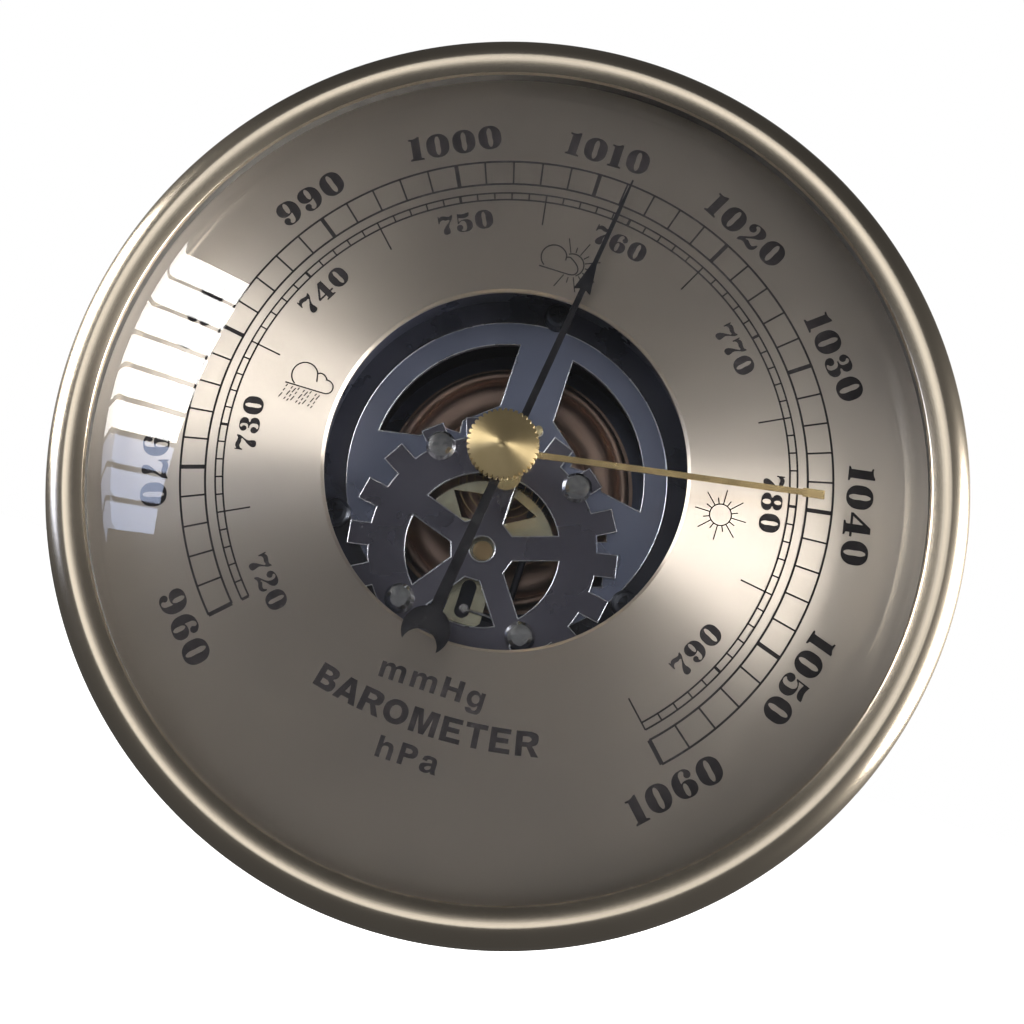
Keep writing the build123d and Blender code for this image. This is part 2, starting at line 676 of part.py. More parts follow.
# ---- hands and knob -----------------------------------------------------------------------
pointer_top = pointer_height + pointer_thick
crescent_at = 26.2
crescent_r = 3.4
with BuildPart() as pointer:
    with BuildSketch(turned_face(pointer_height, pointer_angle)):
        with BuildLine():
            Polyline((-0.6, 0), (-0.42, 27.6), (-1.3, 27.2), (-0.34, 31.9), (-0.3, 40.5),
                     (-0.12, pointer_length), (0.12, pointer_length), (0.3, 40.5), (0.34, 31.9),
                     (1.3, 27.2), (0.42, 27.6), (0.6, 0), (0.9, -crescent_at),
                     (-0.9, -crescent_at), close=True)
        make_face()
        Circle(2.6)
        with Locations((0, -crescent_at)):
            Circle(crescent_r)
        with Locations((0, -crescent_at - 2.5)):
            Circle(2.55, mode=Mode.SUBTRACT)
        Circle(0.95, mode=Mode.SUBTRACT)
    extrude(amount=pointer_thick)
pointer_hub = turned([(0, 0)], [(0.46, hub_low), (1.9, hub_low), (1.9, pointer_height),
                                (0.95, pointer_height), (0.95, pointer_top), (1.6, pointer_top),
                                (1.6, 36.4), (0, 36.4), (0, 35.9), (0.46, 35.9)])

# Set hand: a thin strip that slopes from the stem to just above the pointer's level.
strip = 0.4
along = Plane(origin=(0, 0, 0), z_dir=turned_face(0, set_angle).x_dir,
              x_dir=turned_face(0, set_angle).y_dir)
with BuildPart() as set_hand:
    with BuildSketch(turned_face(set_hub, set_angle)):
        Circle(3.0)
    extrude(amount=0.6)
    slope_start = 2.6
    tip_start = set_length - 3.0
    tip_rise = (set_hub - set_tip) * 3.0 / (set_length - slope_start)
    sign = along.to_local_coords(Vector(0, -1, 0)).Y
    with BuildSketch(along):
        with BuildLine():
            Polyline((slope_start, sign * set_hub), (set_length, sign * set_tip),
                     (set_length, sign * (set_tip + strip)),
                     (slope_start, sign * (set_hub + strip)), close=True)
        make_face()
    extrude(amount=0.42, both=True)
    with BuildSketch(along):
        with BuildLine():
            Polyline((tip_start, sign * (set_tip + tip_rise)), (set_length, sign * set_tip),
                     (set_length, sign * (set_tip + strip)),
                     (tip_start, sign * (set_tip + tip_rise + strip)), close=True)
        make_face()
    extrude(amount=0.6, both=True)
    with BuildSketch(face_at(set_hub - 1)):
        Circle(0.9)
    extrude(amount=3, mode=Mode.SUBTRACT)
spring_washer = ring(stem_r + 0.05, 3.6, set_hub + 0.6, set_hub + 1.0)
stem_rivet = set_hub - 0.5
knob_stem = turned([(0, 0)], [(0, stem_rivet), (1.4, stem_rivet), (1.4, set_hub), (0.9, set_hub),
                              (0.9, set_hub + 0.6), (stem_r, set_hub + 0.6),
                              (stem_r, knob_base + 1.0), (0, knob_base + 1.0)])
flutes = 40
knob = turned([(0, 0)], [(stem_r, knob_base), (knob_r, knob_base),
                         (knob_r, knob_base + knob_rim), (knob_r - 0.35, knob_base + knob_rim + 0.1),
                         (0, knob_tip), (0, knob_base + 1.0), (stem_r, knob_base + 1.0)])
with BuildSketch(face_at(knob_base - 0.5)) as flute_cut:
    with PolarLocations(knob_r, flutes):
        Polygon((-0.42, 0), (0.3, 0.36), (0.3, -0.36), align=None)
with knob:
    extrude(flute_cut.sketch, amount=knob_rim + 1.5, mode=Mode.SUBTRACT)
bush_flange = dome(4.0, flange_top, 0)
knob_bush = turned([(0, 0)], [(stem_r + 0.05, crystal_flange + dome_rise - 0.2),
                              (crystal_hole - 0.05, crystal_flange + dome_rise - 0.2),
                              (crystal_hole - 0.05, flange_top + dome_rise), (3.9, flange_top + dome_rise),
                              (3.9, flange_top + dome_rise + 0.35),
                              (stem_r + 0.05, flange_top + dome_rise + 0.35)])

# ---- write the pieces ---------------------------------------------------------------------
pieces = {
    "bezel": bezel, "case_drum": drum, "drum_ring": drum_ring, "back_cover": cover,
    "cover_screws": cover_screws, "hanger_plate": hanger_plate, "hanger_rivets": hanger_rivets,
    "crystal": crystal, "crystal_gasket": gasket, "spacer_ring": spacer_ring, "dial": dial,
    "dial_seat": dial_seat, "movement_housing": housing, "housing_screws": housing_screws,
    "clamp_screws": clamp_screws, "front_plate": front_plate, "wheel_plate": wheel_plate,
    "plate_screws": plate_screws, "pillars": pillars, "base_plate": base_plate,
    "base_screws": base_screws, "bridge_posts": posts, "lower_posts": lower_posts,
    "rear_bridge": rear_bridge, "capsule_front": capsule_front, "capsule_rear": capsule_rear,
    "capsule_boss": front_boss, "capsule_stud": capsule_stud, "stud_nut": stud_nut,
    "adjusting_lever": adjusting_lever, "lever_rivet": lever_rivet, "lever_washer": lever_washer,
    "adjusting_screw": adjusting_screw, "capsule_post": capsule_post, "sector_gear": sector_gear,
    "sector_arbor": sector_arbor, "pinion_arbor": pinion_arbor, "arbor_bush": arbor_bush,
    "hairspring_collet": collet, "hairspring": hairspring, "hairspring_stud": hairspring_stud,
    "rocking_shaft": rocking_shaft, "drive_arm": drive_arm, "drive_link": drive_link,
    "pointer": pointer, "pointer_hub": pointer_hub, "set_hand": set_hand,
    "spring_washer": spring_washer, "knob_stem": knob_stem, "knob": knob, "knob_bush": knob_bush,
}
for label, piece in pieces.items():
    piece.part.label = label
    export_step(piece.part, f"parts/{label}.step")
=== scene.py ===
"""Wall aneroid barometer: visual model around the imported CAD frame. Lengths in metres."""

import json
import math

import bmesh
import bpy
from mathutils import Matrix, Vector

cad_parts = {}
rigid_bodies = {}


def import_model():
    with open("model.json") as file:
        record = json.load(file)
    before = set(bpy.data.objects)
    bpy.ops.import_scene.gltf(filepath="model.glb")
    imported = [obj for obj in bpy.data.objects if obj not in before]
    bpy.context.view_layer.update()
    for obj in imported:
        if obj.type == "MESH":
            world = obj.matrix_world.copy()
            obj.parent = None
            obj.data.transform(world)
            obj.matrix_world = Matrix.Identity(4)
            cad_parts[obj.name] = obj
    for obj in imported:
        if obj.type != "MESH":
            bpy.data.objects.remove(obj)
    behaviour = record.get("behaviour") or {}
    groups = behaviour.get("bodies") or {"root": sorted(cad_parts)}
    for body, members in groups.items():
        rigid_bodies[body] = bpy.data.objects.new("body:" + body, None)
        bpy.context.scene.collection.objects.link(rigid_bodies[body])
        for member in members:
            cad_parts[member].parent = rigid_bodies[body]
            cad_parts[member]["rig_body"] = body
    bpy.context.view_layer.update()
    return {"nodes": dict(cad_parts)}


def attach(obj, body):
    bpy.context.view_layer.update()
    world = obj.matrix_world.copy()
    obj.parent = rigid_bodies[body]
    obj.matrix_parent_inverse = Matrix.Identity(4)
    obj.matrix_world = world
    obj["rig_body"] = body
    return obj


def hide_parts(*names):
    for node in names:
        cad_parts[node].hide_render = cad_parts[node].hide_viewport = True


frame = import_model()
nodes = frame["nodes"]
MM = 0.001

# ---- sizes shared with the CAD, in millimetres -------------------------------------------
DIAL_FRONT = 30.5
DIAL_BACK = 29.7
DIAL_EDGE = 0.35         # rounding of the dial at its window
WINDOW_R = 26.6
DIAL_R = 61.4
GLASS_R = 63.3           # flange of the glass
GLASS_UNDER = 32.2
GLASS_OVER = 33.8
DOME_R = 58.3            # where the glass begins to rise
DOME_RISE = 9.0
DOME_STEPS = 40
KNOB_HOLE_R = 2.6
ROLL_C = (62.6, 32.6)    # centre of the bezel's rolled edge
ROLL_R = 3.4
ROLL_BORE_R = 2.6        # inside of the rolled sheet
S = 47.4                 # outer radius of the pressure scale
DEG_PER_HPA = 2.7
MMHG = 1.33322           # hPa in one mmHg


def to_world(x, z, height):
    """Point from dial-plane millimetres and height above the back face."""
    return Vector((x * MM, -height * MM, z * MM))


def polar(radius, clockwise):
    a = math.radians(clockwise)
    return (radius * math.sin(a), radius * math.cos(a))


# ---- materials -----------------------------------------------------------------------------
def shader(name, **values):
    """New node material; values are set on the Principled shader's own sockets."""
    m = bpy.data.materials.new(name)
    m.use_nodes = True
    b = m.node_tree.nodes["Principled BSDF"]
    for key, v in values.items():
        b.inputs[key.replace("_", " ")].default_value = v
    return m, m.node_tree.nodes, m.node_tree.links, b


def node(ns, kind, **values):
    n = ns.new("ShaderNode" + kind)
    for key, v in values.items():
        setattr(n, key, v)
    return n


def mottled(m, ns, ls, b, dark, light, scale, rough=None, detail=4.0):
    """Base colour between two tones by a noise, with optional roughness range."""
    co = node(ns, "TexCoord")
    tex = node(ns, "TexNoise")
    tex.inputs["Scale"].default_value = scale
    tex.inputs["Detail"].default_value = detail
    ls.new(co.outputs["Object"], tex.inputs["Vector"])
    ramp = node(ns, "ValToRGB")
    ramp.color_ramp.elements[0].position = 0.35
    ramp.color_ramp.elements[1].position = 0.65
    ramp.color_ramp.elements[0].color = (*dark, 1)
    ramp.color_ramp.elements[1].color = (*light, 1)
    ls.new(tex.outputs["Fac"], ramp.inputs["Fac"])
    ls.new(ramp.outputs["Color"], b.inputs["Base Color"])
    if rough:
        mr = node(ns, "MapRange")
        mr.inputs["From Min"].default_value = 0.3
        mr.inputs["From Max"].default_value = 0.7
        mr.inputs["To Min"].default_value = rough[0]
        mr.inputs["To Max"].default_value = rough[1]
        ls.new(tex.outputs["Fac"], mr.inputs["Value"])
        ls.new(mr.outputs["Result"], b.inputs["Roughness"])
    return tex


def ring_lines(m, ns, ls, b, per_metre, strength, distance=0.00002):
    """Fine circular brushing about the dial axis, as bump."""
    co = node(ns, "TexCoord")
    sep = node(ns, "SeparateXYZ")
    ls.new(co.outputs["Object"], sep.inputs[0])
    com = node(ns, "CombineXYZ")
    ls.new(sep.outputs["X"], com.inputs["X"])
    ls.new(sep.outputs["Z"], com.inputs["Y"])
    ln = node(ns, "VectorMath", operation="LENGTH")
    ls.new(com.outputs[0], ln.inputs[0])
    mul = node(ns, "Math", operation="MULTIPLY")
    mul.inputs[1].default_value = per_metre
    ls.new(ln.outputs["Value"], mul.inputs[0])
    angle = node(ns, "Math", operation="ARCTAN2")
    ls.new(sep.outputs["X"], angle.inputs[0])
    ls.new(sep.outputs["Z"], angle.inputs[1])
    vec = node(ns, "CombineXYZ")
    ls.new(mul.outputs[0], vec.inputs["X"])
    ls.new(angle.outputs[0], vec.inputs["Y"])
    tex = node(ns, "TexNoise")
    tex.inputs["Scale"].default_value = 1.0
    tex.inputs["Detail"].default_value = 3.0
    ls.new(vec.outputs[0], tex.inputs["Vector"])
    bump = node(ns, "Bump")
    bump.inputs["Strength"].default_value = strength
    bump.inputs["Distance"].default_value = distance
    ls.new(tex.outputs["Fac"], bump.inputs["Height"])
    ls.new(bump.outputs["Normal"], b.inputs["Normal"])
    return tex


def radial_tangent(ns, ls, b):
    t = node(ns, "Tangent", direction_type="RADIAL", axis="Y")
    ls.new(t.outputs[0], b.inputs["Tangent"])


def make_materials():
    out = {}
    m, ns, ls, b = shader("bezel_brushed", Metallic=1.0, Anisotropic=0.5, Anisotropic_Rotation=0.25)
    mottled(m, ns, ls, b, (0.61, 0.53, 0.42), (0.65, 0.57, 0.455), 30, (0.22, 0.27))
    ring_lines(m, ns, ls, b, 9000, 0.15)
    radial_tangent(ns, ls, b)
    out["bezel"] = m

    m, ns, ls, b = shader("dial_brushed", Metallic=1.0, Anisotropic=0.93, Anisotropic_Rotation=0.25)
    mottled(m, ns, ls, b, (0.47, 0.425, 0.38), (0.51, 0.46, 0.405), 25, (0.36, 0.42))
    ring_lines(m, ns, ls, b, 12000, 0.12)
    radial_tangent(ns, ls, b)
    out["dial"] = m

    m, ns, ls, b = shader("case_lacquer", Metallic=1.0)
    mottled(m, ns, ls, b, (0.50, 0.42, 0.29), (0.56, 0.48, 0.34), 30, (0.26, 0.34))
    out["case"] = m

    m, ns, ls, b = shader("clear_glass", Transmission_Weight=1.0, IOR=1.5, Roughness=0.0)
    b.inputs["Base Color"].default_value = (0.985, 0.99, 0.985, 1)
    co = node(ns, "TexCoord")
    tex = node(ns, "TexNoise")
    tex.inputs["Scale"].default_value = 18.0
    mr = node(ns, "MapRange")
    mr.inputs["To Min"].default_value = 0.0
    mr.inputs["To Max"].default_value = 0.02
    ls.new(co.outputs["Object"], tex.inputs["Vector"])
    ls.new(tex.outputs["Fac"], mr.inputs["Value"])
    ls.new(mr.outputs["Result"], b.inputs["Roughness"])
    out["glass"] = m

    def plain(key, name, dark, light, scale, rough, metallic=0.0, **extra):
        m, ns, ls, b = shader(name, Metallic=metallic, **extra)
        mottled(m, ns, ls, b, dark, light, scale, rough)
        out[key] = m

    plain("black", "black_moulding", (0.007, 0.008, 0.013), (0.012, 0.013, 0.020), 120, (0.25, 0.33))
    plain("seat", "seat_board", (0.012, 0.011, 0.010), (0.022, 0.020, 0.018), 150, (0.6, 0.75))
    plain("gasket", "gasket_rubber", (0.014, 0.013, 0.012), (0.022, 0.02, 0.019), 200, (0.6, 0.8))
    plain("plate", "movement_steel", (0.24, 0.27, 0.38), (0.28, 0.31, 0.43), 60, (0.26, 0.32), 1.0)
    plain("wheel", "wheel_steel", (0.142, 0.14, 0.178), (0.17, 0.168, 0.21), 60, (0.26, 0.32), 1.0)
    plain("screw", "bright_screw", (0.58, 0.585, 0.60), (0.68, 0.685, 0.70), 200, (0.12, 0.2), 1.0)
    # Light metal of the edge beads: painted highlight along the plate edges.
    plain("edge", "painted_highlight_edge", (0.60, 0.62, 0.68), (0.68, 0.70, 0.76), 60, (0.24, 0.3), 1.0)
    # Near-black blued steel: the real finish of the clamp screws, and painted shade on the rear bridge
    # and the rocking shaft, which are made dark so they read as the shadow inside the movement.
    plain("blued_and_shade", "blued_screw_and_painted_shade", (0.05, 0.055, 0.07), (0.08, 0.085, 0.1), 200, (0.3, 0.4), 1.0)
    plain("steel", "arbor_steel", (0.56, 0.56, 0.56), (0.64, 0.64, 0.64), 300, (0.2, 0.3), 1.0)
    plain("brass", "train_brass", (0.76, 0.64, 0.36), (0.83, 0.71, 0.42), 120, (0.22, 0.30), 1.0)
    plain("sector", "sector_brass", (0.88, 0.84, 0.62), (0.94, 0.91, 0.70), 300, (0.18, 0.26), 1.0)
    plain("copper", "capsule_copper", (0.46, 0.33, 0.27), (0.53, 0.385, 0.315), 60, (0.30, 0.38), 1.0)
    plain("bronze", "spring_bronze", (0.55, 0.40, 0.22), (0.62, 0.46, 0.26), 300, (0.25, 0.35), 1.0)
    plain("hand", "black_hand", (0.004, 0.004, 0.005), (0.007, 0.007, 0.008), 300, (0.2, 0.28),
          Specular_IOR_Level=0.15)
    plain("gilt", "gilt_hand", (0.70, 0.53, 0.27), (0.76, 0.58, 0.30), 200, (0.22, 0.3), 1.0)
    plain("ink", "dial_ink", (0.008, 0.007, 0.008), (0.014, 0.012, 0.013), 400, (0.5, 0.6),
          Specular_IOR_Level=0.1)

    plain("floor", "pale_floor", (0.86, 0.86, 0.85), (0.90, 0.90, 0.89), 2, (0.7, 0.8),
          Emission_Color=(1, 1, 1, 1), Emission_Strength=1.1)

    m, ns, ls, b = shader("knob_turned", Metallic=1.0, Anisotropic=0.7, Anisotropic_Rotation=0.25)
    mottled(m, ns, ls, b, (0.60, 0.47, 0.25), (0.68, 0.54, 0.30), 200, (0.30, 0.36))
    ring_lines(m, ns, ls, b, 9000, 0.25)
    radial_tangent(ns, ls, b)
    out["knob"] = m
    return out


mats = make_materials()


def paint(obj, key):
    obj.data.materials.clear()
    obj.data.materials.append(mats[key])


node_looks = {
    "bezel": "bezel", "case_drum": "case", "back_cover": "black", "cover_screws": "screw",
    "hanger_plate": "plate", "hanger_rivets": "screw", "crystal": "glass",
    "crystal_gasket": "gasket", "spacer_ring": "seat", "dial": "dial", "dial_seat": "seat",
    "movement_housing": "black", "housing_screws": "screw", "clamp_screws": "blued_and_shade",
    "front_plate": "plate", "wheel_plate": "wheel", "plate_screws": "screw",
    "pillars": "brass", "base_plate": "plate", "base_screws": "screw",
    # The rear bridge and the rocking shaft wear the near-black blued steel as painted shade.
    "bridge_posts": "brass", "lower_posts": "brass", "rear_bridge": "blued_and_shade",
    "capsule_front": "copper", "capsule_rear": "copper", "capsule_boss": "brass",
    "capsule_stud": "brass", "stud_nut": "brass", "adjusting_lever": "plate",
    "lever_rivet": "brass", "lever_washer": "brass", "adjusting_screw": "brass",
    "capsule_post": "brass", "sector_gear": "brass", "sector_arbor": "bronze",
    "pinion_arbor": "steel", "arbor_bush": "brass", "hairspring_collet": "brass",
    "hairspring": "bronze", "hairspring_stud": "brass", "rocking_shaft": "blued_and_shade",
    "drive_arm": "brass", "drive_link": "steel", "pointer": "hand", "pointer_hub": "brass",
    "set_hand": "gilt", "spring_washer": "bronze", "knob_stem": "gilt", "knob": "knob",
    "knob_bush": "gilt",
}
for name, key in node_looks.items():
    paint(nodes[name], key)


# ---- mesh helpers --------------------------------------------------------------------------
def new_object(name, verts, faces, body, key, smooth=None):
    mesh = bpy.data.meshes.new(name)
    mesh.from_pydata(verts, [], faces)
    mesh.update()
    if smooth is not None:
        bm = bmesh.new()
        bm.from_mesh(mesh)
        bmesh.ops.recalc_face_normals(bm, faces=bm.faces)
        for f in bm.faces:
            f.smooth = True
        for e in bm.edges:
            if len(e.link_faces) == 2:
                e.smooth = e.calc_face_angle(0) < math.radians(smooth)
        bm.to_mesh(mesh)
        bm.free()
    obj = bpy.data.objects.new(name, mesh)
    bpy.context.scene.collection.objects.link(obj)
    obj.data.materials.append(mats[key])
    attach(obj, body)
    return obj


def lathe(name, profile, body, key, segments=256, smooth=25):
    """Closed profile of (radius, height) points turned about the dial axis."""
    verts, faces = [], []
    n = len(profile)
    for k in range(segments):
        a = 2 * math.pi * k / segments
        for r, h in profile:
            verts.append((r * MM * math.sin(a), -h * MM, r * MM * math.cos(a)))
    for k in range(segments):
        k2 = (k + 1) % segments
        for i in range(n):
            j = (i + 1) % n
            faces.append((k * n + i, k2 * n + i, k2 * n + j, k * n + j))
    return new_object(name, verts, faces, body, key, smooth)


def arc_points(centre, radius, start, end, steps):
    """Points on an arc in a profile; angles in degrees from the outward direction."""
    out = []
    for k in range(steps + 1):
        a = math.radians(start + (end - start) * k / steps)
        out.append((centre[0] + radius * math.cos(a), centre[1] + radius * math.sin(a)))
    return out


def softened(name, cad_node, key, width, segments):
    """Copy of a CAD node with its sharp edges bevelled, standing for that node."""
    mesh = nodes[cad_node].data.copy()
    bm = bmesh.new()
    bm.from_mesh(mesh)
    bmesh.ops.remove_doubles(bm, verts=bm.verts, dist=1e-6)
    bmesh.ops.dissolve_limit(bm, angle_limit=math.radians(1.0), verts=bm.verts, edges=bm.edges)
    bm.to_mesh(mesh)
    bm.free()
    obj = bpy.data.objects.new(name, mesh)
    bpy.context.scene.collection.objects.link(obj)
    mesh.materials.clear()
    mesh.materials.append(mats[key])
    bevel = obj.modifiers.new("bevel", "BEVEL")
    bevel.width = width * MM
    bevel.segments = segments
    bevel.limit_method = "ANGLE"
    bevel.angle_limit = math.radians(40)
    bevel.use_clamp_overlap = True
    for p in mesh.polygons:
        p.use_smooth = False
    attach(obj, nodes[cad_node]["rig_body"])
    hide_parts(cad_node)


def edge_beads(name, cad_node, key, radius):
    """Slim bright bead along every front edge of a stamped plate, rounding it; its light metal is a
    painted highlight along the edge.
    """
    sides = 8
    toward_back = Vector((0, 1, 0))
    bm = bmesh.new()
    bm.from_mesh(nodes[cad_node].data)
    bmesh.ops.remove_doubles(bm, verts=bm.verts, dist=1e-6)
    bm.transform(nodes[cad_node].matrix_world)
    bm.normal_update()
    flat = [f for f in bm.faces if f.normal.y < -0.99]
    front = min(f.calc_center_median().y for f in flat)
    top = {f for f in flat if f.calc_center_median().y < front + 0.05 * MM}
    verts, faces = [], []
    r = radius * MM
    for edge in bm.edges:
        if sum(f in top for f in edge.link_faces) != 1:
            continue
        a, b = (v.co.copy() for v in edge.verts)
        along = (b - a).normalized()
        a -= along * r * 0.4
        b += along * r * 0.4
        side = along.cross(toward_back)
        start = len(verts)
        for end in (a, b):
            for k in range(sides):
                turn = math.radians(360 / sides * k)
                offset = side * math.cos(turn) + toward_back * math.sin(turn)
                verts.append(end + offset * r)
        for k in range(sides):
            n = (k + 1) % sides
            faces.append((start + k, start + n, start + sides + n, start + sides + k))
        faces.append(tuple(start + k for k in reversed(range(sides))))
        faces.append(tuple(start + sides + k for k in range(sides)))
    bm.free()
    new_object(name, verts, faces, nodes[cad_node]["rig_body"], key, smooth=50)


# ---- case ----------------------------------------------------------------------------------
def bezel_profile():
    """Rolled sheet from the lip round to the foot that grips the drum, and back inside."""
    outer = arc_points(ROLL_C, ROLL_R, 97, -40, 28)
    inner = arc_points(ROLL_C, ROLL_BORE_R, -46.2, 97, 24)
    return ([(59.9, 34.45), (59.9, 35.1), (60.0, 35.22)] + outer
            + [(65.2, 24.6), (64.1, 23.6), (63.6, 24.2), (64.4, 25.2)] + inner)


bezel = lathe("bezel_spun", bezel_profile(), "case", "bezel", 384, 35)
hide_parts("bezel")

BALL = (DOME_R ** 2 + DOME_RISE ** 2) / (2 * DOME_RISE)


def dome(radius, spring):
    """Height of the spherical dome above the back, for a surface that springs at a height."""
    return spring + DOME_RISE - BALL + math.sqrt(BALL ** 2 - radius ** 2)


dome_radii = [DOME_R + (KNOB_HOLE_R - DOME_R) * k / DOME_STEPS for k in range(DOME_STEPS + 1)]
outer_dome = [(r, dome(r, GLASS_OVER)) for r in dome_radii]
inner_dome = [(r, dome(r, GLASS_UNDER)) for r in reversed(dome_radii)]
crystal = lathe("crystal_domed",
                [(GLASS_R, GLASS_UNDER), (GLASS_R, GLASS_OVER)] + outer_dome + inner_dome,
                "case", "glass", 256, 20)
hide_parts("crystal")
crystal.visible_shadow = False

dial_profile = [(WINDOW_R, DIAL_BACK), (DIAL_R, DIAL_BACK), (DIAL_R, DIAL_FRONT),
                (WINDOW_R + DIAL_EDGE, DIAL_FRONT), (WINDOW_R, DIAL_FRONT - DIAL_EDGE)]
dial = lathe("dial_plate", dial_profile, "case", "dial", 256, 20)
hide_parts("dial")

# The beads' light metal is a painted highlight along the plate edges; their rounding also catches the
# lamps.
edge_beads("front_plate_edges", "front_plate", "edge", 0.09)
edge_beads("wheel_plate_edges", "wheel_plate", "edge", 0.10)
softened("sector_fine", "sector_gear", "sector", 0.04, 1)


def arch(near, far, foot, crown, steps=12):
    """Points over one arched corrugation, on the circle through both feet and the crown."""
    half, rise = (far - near) / 2, crown - foot
    radius = (half ** 2 + rise ** 2) / (2 * rise)
    out = []
    for k in range(steps + 1):
        x = half * (2 * k / steps - 1)
        out.append((near + half + x, crown - radius + math.sqrt(max(radius ** 2 - x ** 2, 0))))
    return out


def capsule_profile():
    feet = [3.0, 8.1, 13.2, 18.3]
    low, high = [(0.9, 12.6), (2.0, 12.6)], [(0.9, 12.9), (2.0, 12.9)]
    for row, lift, end in ((low, 0.0, 19.9), (high, 0.3, 20.1)):
        ends = feet + [end]
        for near, far in zip(ends, ends[1:]):
            row.extend(arch(near, far, 11.7 + lift, 12.6 + lift))
    return low + [(20.1, 9.75), (21.0, 9.75), (21.0, 10.05), (20.4, 10.05)] + high[::-1]


capsule = lathe("capsule_spun", capsule_profile(), "case", "copper", 192, 50)
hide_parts("capsule_front")

# ---- dial print ----------------------------------------------------------------------------
INK_LOW = 30.49          # the ink is a thin closed skin, just sunk into the dial's face
INK_TOP = 30.53


class Ink:
    """Collects thin closed slabs in the plane of the dial into one mesh."""

    def __init__(self, low=INK_LOW, top=INK_TOP):
        self.verts, self.faces, self.low, self.top = [], [], low, top

    def ribbon(self, left, right, closed=False):
        """Slab between two matching rows of (x, z) points."""
        base, n = len(self.verts), len(left)
        for (ax, az), (bx, bz) in zip(left, right):
            for x, z, h in ((ax, az, self.top), (bx, bz, self.top),
                            (bx, bz, self.low), (ax, az, self.low)):
                self.verts.append(to_world(x, z, h)[:])
        for k in range(n if closed else n - 1):
            a, b = base + 4 * k, base + 4 * ((k + 1) % n)
            for i in range(4):
                j = (i + 1) % 4
                self.faces.append((a + i, a + j, b + j, b + i))
        if not closed:
            end = base + 4 * (n - 1)
            self.faces.append((base, base + 3, base + 2, base + 1))
            self.faces.append((end, end + 1, end + 2, end + 3))

    def arc(self, radius, width, start, end):
        """Arc about the dial's centre between two clockwise angles."""
        count = max(2, int(abs(end - start) / 1.0))
        turns = [start + (end - start) * k / count for k in range(count + 1)]
        closed = abs(end - start) >= 360
        if closed:
            turns = turns[:-1]
        self.ribbon([polar(radius + width / 2, t) for t in turns],
                    [polar(radius - width / 2, t) for t in turns], closed)

    def tick(self, turn, inner, outer, width):
        (ax, az), (bx, bz) = polar(inner, turn), polar(outer, turn)
        dx, dz = polar(width / 2, turn + 90)
        self.ribbon([(ax + dx, az + dz), (bx + dx, bz + dz)],
                    [(ax - dx, az - dz), (bx - dx, bz - dz)])

    def stroke(self, points, width, closed=False):
        """Line of even width through points, mitred at the corners."""
        left, right, n = [], [], len(points)
        for k in range(n):
            before = points[(k - 1) % n] if (k or closed) else points[k]
            after = points[(k + 1) % n] if (k < n - 1 or closed) else points[k]
            a = Vector(points[k]) - Vector(before)
            b = Vector(after) - Vector(points[k])
            a = a.normalized() if a.length else b.normalized()
            b = b.normalized() if b.length else a
            mid = (a + b).normalized()
            side = Vector((-mid.y, mid.x))
            reach = width / 2 / max(0.5, side.dot(Vector((-a.y, a.x))))
            left.append(tuple(Vector(points[k]) + side * reach))
            right.append(tuple(Vector(points[k]) - side * reach))
        self.ribbon(left, right, closed)

    def glyph(self, mesh, scale_x, scale_z, turn, x, z):
        """Places a glyph mesh; its x and y run along and up the line, z is its thickness."""
        a, base = math.radians(turn), len(self.verts)
        middle = (self.low + self.top) / 2
        for v in mesh.vertices:
            gx, gz = v.co.x * scale_x, v.co.y * scale_z
            wx = x + gx * math.cos(a) + gz * math.sin(a)
            wz = z - gx * math.sin(a) + gz * math.cos(a)
            h = middle + math.copysign((self.top - self.low) / 2, v.co.z)
            self.verts.append(to_world(wx, wz, h)[:])
        for p in mesh.polygons:
            self.faces.append(tuple(base + i for i in p.vertices))

    def finish(self, name):
        obj = new_object(name, self.verts, self.faces, "case", "ink")
        bm = bmesh.new()
        bm.from_mesh(obj.data)
        bmesh.ops.remove_doubles(bm, verts=bm.verts, dist=1e-7)
        bmesh.ops.recalc_face_normals(bm, faces=bm.faces)
        bm.to_mesh(obj.data)
        bm.free()
        return obj


# Fat-faced figures, one unit high. Each loop is a list of (x, y, smooth) points.
def smooth(*points):
    return [(x, y, True) for x, y in points]


def mixed(*points):
    """Points with a third value of 0 are corners."""
    return [(p[0], p[1], len(p) < 3) for p in points]


